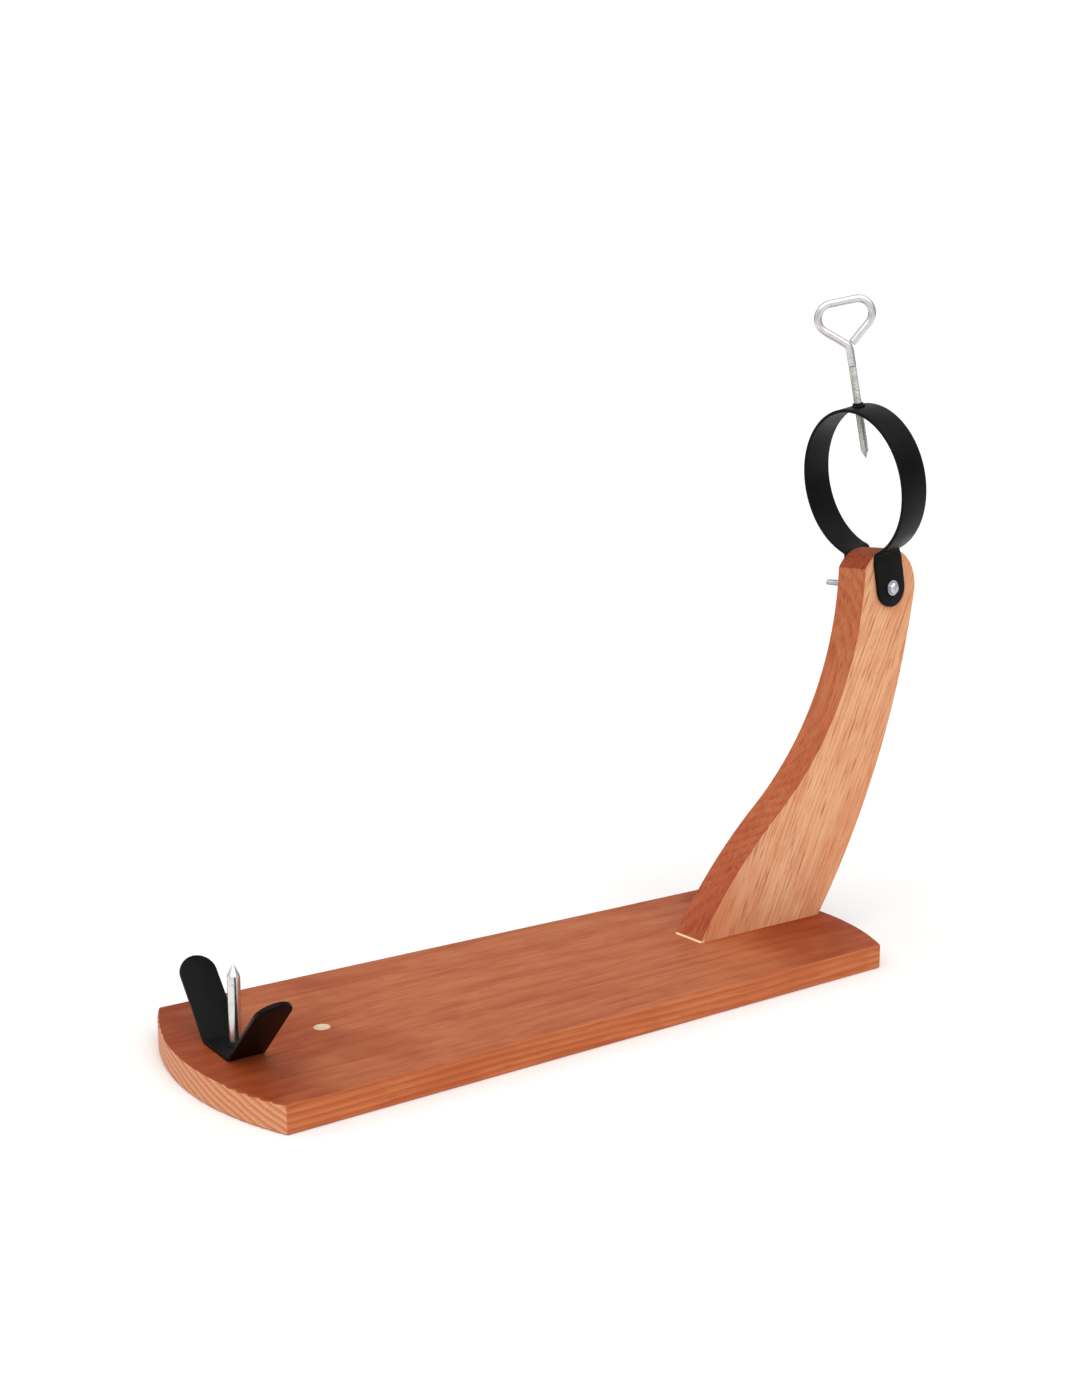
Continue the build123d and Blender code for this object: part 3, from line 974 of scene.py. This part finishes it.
@dataclass
class ClampScrew:
    """The threaded shank with its cone point, and the bent loop above it."""

    places: Places
    radius: float = 3.0
    reach: float = 40.8
    point: float = 6.7
    point_blend: float = 0.8
    rise: float = 30.1
    pitch: float = 1.0
    thread_depth: float = 0.26
    crest_trim: float = 0.15
    joint_gap: float = 0.1
    bend_rise: float = 45.5
    bend_radius: float = 8.0
    splay: float = 49.5
    loop_height: float = 33.6
    corner_radius: float = 11.0
    end_gap: float = 2.9
    end_round: float = 0.7
    end_drop: float = 0.6
    turn: float = -35.6

    def build_shank(self, steel: Material) -> None:
        """Make the threaded shank: thread radii held under a cone at the tip.

        Args:
            steel: The dull thread finish.
        """
        heights = np.arange(-self.reach, self.rise, self.pitch / RINGS_PER_PITCH)
        radii = threaded_radii(heights, self.radius, self.pitch, self.thread_depth)
        cone = np.maximum((heights + self.reach) * self.radius / self.point, TIP_RADIUS)
        plain = np.minimum(self.radius - self.crest_trim, cone)[:, None]
        on_cone = (heights < -self.reach + self.point + self.point_blend)[:, None]
        radii = np.where(on_cone, plain, np.minimum(radii, plain + self.crest_trim))
        rows = turned_rows(self.places.screw_foot, self.places.screw_axis, heights, radii)
        shank = skin("clamp_screw_threaded", rows, 60.0)
        finish_piece(shank, steel, Body.SCREW, Slot.THREAD, "clamp_screw_shank")

    def loop_line(self) -> tuple[Array, Array]:
        """The loop's centre line in its own plane, and its heading.

        The heading is the running sum of the bends over the length, and the line is the running
        sum of the heading's cosine and sine.

        Returns:
            Points of shape (count, 2), across and up from the bend's corner, and headings.
        """
        splay = math.radians(self.splay)
        corner = math.pi / 2 + splay
        bend_back = self.bend_radius * math.tan(splay / 2)
        corner_back = self.corner_radius * math.tan(corner / 2)
        side = self.loop_height / math.cos(splay)
        top = 2 * (self.loop_height * math.tan(splay) - corner_back)
        stem = self.bend_rise - self.rise - self.joint_gap - bend_back
        lengths = [stem, self.bend_radius * splay, side - bend_back - corner_back]
        lengths += [self.corner_radius * corner, top, self.corner_radius * corner]
        lengths += [side - corner_back - self.end_gap]
        turns = [0.0, splay, 0.0, -corner, 0.0, -corner, 0.0]
        total = np.concatenate([[0.0], np.cumsum(lengths)])
        walk = np.linspace(0.0, total[-1], HANDLE_POINTS)
        heading = math.pi / 2 + np.interp(walk, total, np.concatenate([[0.0], np.cumsum(turns)]))
        way = np.stack([np.cos(heading), np.sin(heading)], axis=1)
        steps = (way[1:] + way[:-1]) / 2 * (walk[1] - walk[0])
        line = np.concatenate([[[0.0, 0.0]], np.cumsum(steps, axis=0)])
        return line + [0.0, -bend_back - stem], heading

    def build_handle(self, zinc: Material) -> None:
        """Make the loop as a round rod along its line, with softened cut ends.

        Args:
            zinc: The bright finish.
        """
        line, heading = self.loop_line()
        axis = self.places.screw_axis
        turn = math.radians(self.turn)
        level = np.array([math.cos(turn), math.sin(turn), 0.0])
        side = unit(level - axis * level.dot(axis))
        out = np.cross(side, axis)
        corner = self.places.screw_foot + axis * self.bend_rise
        centre = corner + line[:, :1] * side + line[:, 1:] * axis
        sideways = -np.sin(heading)[:, None] * side + np.cos(heading)[:, None] * axis
        step = float(np.linalg.norm(centre[1] - centre[0]))
        from_end = np.minimum(np.arange(len(line)), np.arange(len(line))[::-1]) * step
        share = np.minimum(from_end / self.end_round, 1.0)
        round_off = np.sqrt(np.clip(1 - (1 - share) ** 2, 0.0, 1.0))
        radii = self.radius - self.end_drop + self.end_drop * round_off
        angle = np.linspace(0.0, math.tau, ROD_AROUND, endpoint=False)
        spoke = np.cos(angle)[:, None] * sideways[:, None] + np.sin(angle)[:, None] * out
        loop = skin("clamp_screw_loop", centre[:, None] + radii[:, None, None] * spoke)
        finish_piece(loop, zinc, Body.HANDLE, Slot.WIRE, "clamp_screw_handle")


@dataclass
class HamRest:
    """The bent V strip, the spike that stands in it and the weld collar at its root."""

    spike_x: float
    floor: float
    board_top: float
    bracket_x: float
    width: float = 24.0
    thickness: float = 2.5
    fold_spacing: float = 36.6
    splay: float = 45.0
    near_wing: float = 66.5
    far_wing: float = 58.5
    bend_reach: float = 4.0
    line_step: float = 0.35
    edge: float = 0.45
    spike_radius: float = 4.0
    spike_height: float = 51.5
    spike_point: float = 7.7
    tail_radius: float = 3.0
    tail_end: float = 1.5
    collar_height: float = 2.5
    collar_foot: float = 6.0
    collar_top: float = 4.5
    collar_rim: float = 0.9
    collar_batter: float = 0.3
    collar_bore: float = 0.8

    def build_bracket(self, enamel: Material) -> None:
        """Make the strip along its bent middle line, with half-round tips.

        Args:
            enamel: The black finish.
        """
        splay = math.radians(self.splay)
        half = self.thickness / 2
        inset = half * math.tan(splay / 2)
        fold = self.fold_spacing / 2 - inset
        level = self.board_top + half
        way = np.array([math.cos(splay), math.sin(splay)])
        near = self.near_wing - inset
        far = self.far_wing - inset
        corners = [
            (-fold - near * way[0], level + near * way[1]),
            (-fold, level),
            (fold, level),
            (fold + far * way[0], level + far * way[1]),
        ]
        line = softened(corners, self.line_step, self.bend_reach)
        steps = np.linalg.norm(np.gradient(line, axis=0), axis=1)
        walk = np.cumsum(steps) - steps[0]
        from_tip = np.minimum(walk, walk[-1] - walk)
        radius = self.width / 2
        depth = np.clip(radius - from_tip, 0.0, radius)
        widths = np.sqrt(radius**2 - depth**2)
        origin, along = np.array([self.bracket_x, 0.0, 0.0]), np.array([1.0, 0.0, 0.0])
        rows = strip_rows(line, origin, UP, along, widths, self.thickness, self.edge)
        finish_piece(skin("rest_bracket_bent", rows), enamel, Body.STAND, Slot.BLACK, "rest_bracket")

    def build_spike(self, steel: Material) -> None:
        """Make the spike: tail, shank and a cone with a softened shoulder.

        Args:
            steel: The turned finish.
        """
        tip = self.floor + self.spike_height
        corners = [
            (AXIS_NEAR, self.tail_end),
            (self.tail_radius, self.tail_end),
            (self.tail_radius, self.floor),
            (self.spike_radius, self.floor),
            (self.spike_radius, tip - self.spike_point),
            (AXIS_NEAR, tip),
        ]
        profile = softened(corners, step=0.2, reach=1.0)
        radii = np.repeat(np.maximum(profile[:, :1], TIP_RADIUS), SPIKE_AROUND, axis=1)
        rows = turned_rows(np.array([self.spike_x, 0.0, 0.0]), UP, profile[:, 1], radii)
        finish_piece(skin("spike_turned", rows), steel, Body.STAND, Slot.SPIKE, "spike")

    def build_collar(self, enamel: Material) -> None:
        """Make the rippled weld collar round the spike's root.

        Args:
            enamel: The black finish.
        """
        corners = [
            (self.collar_foot, 0.0),
            (self.collar_foot - self.collar_batter, self.collar_rim),
            (self.collar_top, self.collar_height),
            (self.spike_radius, self.collar_height),
            (self.spike_radius, self.collar_height - self.collar_bore),
        ]
        foot = np.array([self.spike_x, 0.0, self.floor])
        rows = weld_rows(foot, UP, corners, flare_top=self.collar_height, ripple=0.2)
        collar = skin("spike_collar_welded", rows)
        finish_piece(collar, enamel, Body.STAND, Slot.BLACK, "spike_collar")


@dataclass
class PivotBolt:
    """The long bolt through the ears and the arm, with a domed head and a threaded end."""

    places: Places
    radius: float = 2.5
    length: float = 70.0
    under_head: float = -18.1
    head_radius: float = 4.75
    head_height: float = 3.7
    head_edge: float = 1.4
    thread_length: float = 38.0
    pitch: float = 0.8
    thread_depth: float = 0.22
    drive_radius: float = 1.9
    drive_depth: float = 1.4
    drive_floor: float = 0.7
    chamfer: float = 0.6
    head_blend: float = 0.2

    def build(self, zinc: Material) -> None:
        """Make the bolt: a dome with a shallow drive recess, a plain shank and a thread.

        The dome is a circle's arc over the head's edge, and the recess narrows to a share of its
        radius. The thread starts at a height, and the plain shank keeps the full radius.

        Args:
            zinc: The bright finish.
        """
        crown = self.under_head - self.head_height
        rise = self.head_height - self.head_edge
        sphere = (self.head_radius**2 + rise**2) / (2 * rise)
        spokes = np.linspace(self.drive_radius, self.head_radius, DOME_POINTS)
        dome = crown + sphere - np.sqrt(sphere**2 - spokes**2)
        recess = crown + self.drive_depth
        corners = [(AXIS_NEAR, recess), (self.drive_radius * self.drive_floor, recess)]
        corners += [(float(r), float(y)) for r, y in zip(spokes, dome)]
        corners += [(self.head_radius, self.under_head), (self.radius, self.under_head)]
        head = softened(corners, PROFILE_STEP, 0.5)
        end = self.under_head + self.length
        shank = np.arange(self.under_head + self.head_blend, end, self.pitch / RINGS_PER_PITCH)
        radii = threaded_radii(shank, self.radius, self.pitch, self.thread_depth)
        radii = np.where((shank < end - self.thread_length)[:, None], self.radius, radii)
        radii = np.minimum(radii, (end - shank)[:, None] + self.radius - self.chamfer)
        heights = np.concatenate([head[:, 1], shank])
        radii = np.concatenate([np.repeat(head[:, :1], THREAD_AROUND, axis=1), radii])
        origin = self.places.pivot * np.array([1.0, 0.0, 1.0])
        bolt = skin("pivot_bolt_threaded", turned_rows(origin, ACROSS, heights, radii), 50.0)
        finish_piece(bolt, zinc, Body.STAND, Slot.FASTENER, "pivot_bolt")


@dataclass(frozen=True)
class Lamp:
    """A distant lamp: the way to it, how wide it looks, and its power in watts per square metre."""

    name: str
    toward: tuple[float, float, float]
    width_deg: float
    power: float


@dataclass
class Studio:
    """A pale floor, soft lamps, the surroundings and the camera."""

    eye: tuple[float, float, float] = (-0.5927, -0.8265, 0.3770)
    ahead: tuple[float, float, float] = (0.5745, 0.8026, -0.1606)
    lens: float = 39.14
    floor_tone: str = "#fbfaf8"
    floor_cloud: str = "#f6f5f3"
    floor_half_m: float = 6.0
    floor_drop_mm: float = 0.2
    sky: tuple[float, float, float, float] = (0.97, 0.98, 1.0, 1.0)
    surround: float = 0.6
    backdrop: float = 1.1
    low_wall: float = 0.38
    ceiling: float = 0.75
    key: Lamp = Lamp("key", (-0.35, -0.75, 1.0), 85.0, 2.0)
    fill: Lamp = Lamp("fill", (-0.9, 0.3, 0.6), 70.0, 0.5)

    def build(self) -> None:
        """Make the camera, the world, the floor and the lamps."""
        view = bpy.data.cameras.new("camera")
        view.lens = self.lens
        camera = self.aimed("camera", view, self.eye, self.ahead)
        bpy.context.scene.camera = camera
        bpy.context.scene.view_settings.view_transform = "Standard"
        self.build_world()
        self.build_floor()
        for lamp in (self.key, self.fill):
            light = bpy.data.lights.new(lamp.name, "SUN")
            light.angle = math.radians(lamp.width_deg)
            light.energy = lamp.power
            self.aimed(lamp.name, light, lamp.toward, -Vector(lamp.toward))

    def build_world(self) -> None:
        """Fill the surroundings with pale light: bright behind, and dimmer low in reflections."""
        world = bpy.data.worlds.new("studio")
        world.use_nodes = True
        tree = world.node_tree
        background = tree.nodes["Background"]
        background.inputs["Color"].default_value = self.sky
        path = add_node(tree, "ShaderNodeLightPath")
        glossy, seen = path.outputs["Is Glossy Ray"], path.outputs["Is Camera Ray"]
        climb = coordinate(tree, add_node(tree, "ShaderNodeTexCoord").outputs["Generated"], Z)
        mirrored = spread(tree, climb, 0.1, 0.7, self.low_wall, self.ceiling)
        lit = maths(tree, "MULTIPLY", maths(tree, "SUBTRACT", 1.0, glossy), self.surround)
        strength = maths(tree, "ADD", lit, maths(tree, "MULTIPLY", glossy, mirrored))
        behind = maths(tree, "MULTIPLY", seen, self.backdrop - self.surround)
        strength = maths(tree, "ADD", strength, behind)
        tree.links.new(strength, background.inputs["Strength"])
        bpy.context.scene.world = world

    def build_floor(self) -> None:
        """Lay the floor just under the board."""
        half, level = self.floor_half_m, -self.floor_drop_mm * MM
        corners = [(x * half, y * half, level) for x, y in ((-1, -1), (1, -1), (1, 1), (-1, 1))]
        mesh = bpy.data.meshes.new("floor")
        mesh.from_pydata(corners, [], [(0, 1, 2, 3)])
        material, tree, shader, place = new_material("matt_paper_sweep")
        tone = blend_colour(tree, noise(tree, place, 300.0), self.floor_tone, self.floor_cloud)
        tree.links.new(tone, shader.inputs["Base Color"])
        shader.inputs["Roughness"].default_value = 0.9
        mesh.materials.append(material)
        floor = add_object("floor", mesh)

    def aimed(
        self, name: str, data: bpy.types.ID, place: tuple[float, float, float], ahead: Any
    ) -> bpy.types.Object:
        """Put a lamp or a camera at a place, looking ahead with its top upwards.

        Args:
            name: Its name.
            data: The lamp or camera.
            place: Where it stands, in metres.
            ahead: The direction it looks in.

        Returns:
            The new object.
        """
        thing = add_object(name, data)
        thing.location = place
        thing.rotation_mode = "QUATERNION"
        thing.rotation_quaternion = Vector(ahead).to_track_quat("-Z", "Y")
        return thing


def dress_node(carried: bpy.types.Object, material: Material) -> None:
    """Give a carried-over CAD node its finish.

    Args:
        carried: The node's object.
        material: The finish.
    """
    for slot in carried.material_slots:
        slot.material = material
    if not carried.material_slots:
        carried.data.materials.append(material)
    LOG.info("%s: %s", carried.name, material.name)


# The CAD hardware that keeps its own mesh and takes the fasteners' zinc.
HARDWARE = (
    "arm_screws",
    "spike_washer",
    "spike_nut",
    "pivot_head_washer",
    "pivot_far_washer",
    "pivot_nut",
)
# From the pivot up to the ridge between the arm's front and its head.
RIDGE_RISE = 15.5


def main() -> None:
    """Build the stand's looks."""
    logging.basicConfig(level=logging.INFO, format="%(name)s %(message)s")
    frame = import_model()
    places = Places.read(frame["record"])
    nodes = frame["nodes"]
    _, board_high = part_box("base_board")
    arm_low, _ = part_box("upright_arm")
    bracket_low, bracket_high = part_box("rest_bracket")
    spike_low, spike_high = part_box("spike")
    hole = next(m for m in frame["record"]["mounts"] if m["name"] == "spare_spike_hole")

    board_wood = BoardPine(
        name="oil_stained_pine_board",
        early="#c27346",
        late="#a7532b",
        fleck="#994924",
        ring_mm=4.5,
        pith=(0.0, 0.11, -0.42),
        grain_turn=0.0,
        ring_strength=0.5,
        stroke_strength=0.5,
        seed=0.31,
        top_tone="#f2f0fb",
        toward_ends_tone="#c99f84",
        edge_tone="#fdf6f0",
        end_early="#d0926a",
        end_late="#a85b36",
        spots=(
            Spot(tuple(hole["pos_m"][:2]), hole["dims"]["r_mm"] + Spot.soft_mm, "#f2e0c2"),
            Spot((-0.226, -0.057), 1.3, "#7a2f1c"),
        ),
    ).build()
    arm_wood = ArmPine(
        name="oil_stained_pine_arm",
        early="#deac82",
        late="#c47850",
        fleck="#a94f32",
        ring_mm=3.8,
        pith=(0.0, 0.05, -0.3),
        grain_turn=math.radians(65.0),
        ring_strength=0.5,
        stroke_strength=0.75,
        seed=0.87,
        front_tone="#d5a891",
        low_front_tone="#c58a73",
        crown_tone="#aa6d51",
        bare="#f2cfa0",
        ridge_height=(places.pivot[2] + RIDGE_RISE) * MM,
        foot_height=arm_low[2],
        toe_x=arm_low[0],
    ).build()
    enamel = BakedEnamel().build()
    fastener = FASTENER_ZINC.build()

    dress_node(nodes["base_board"], board_wood)
    dress_node(nodes["upright_arm"], arm_wood)
    for node in HARDWARE:
        dress_node(nodes[node], fastener)

    ClampRing(places).build(enamel)
    screw = ClampScrew(places)
    screw.build_shank(THREAD_STEEL.build())
    screw.build_handle(WIRE_ZINC.build())
    rest = HamRest(
        spike_x=(spike_low[0] + spike_high[0]) / 2 / MM,
        floor=spike_high[2] / MM - HamRest.spike_height,
        board_top=board_high[2] / MM,
        bracket_x=(bracket_low[0] + bracket_high[0]) / 2 / MM,
    )
    rest.build_bracket(enamel)
    rest.build_spike(TURNED_STEEL.build())
    rest.build_collar(enamel)
    PivotBolt(places).build(fastener)
    Studio().build()


if __name__ == "__main__":
    main()
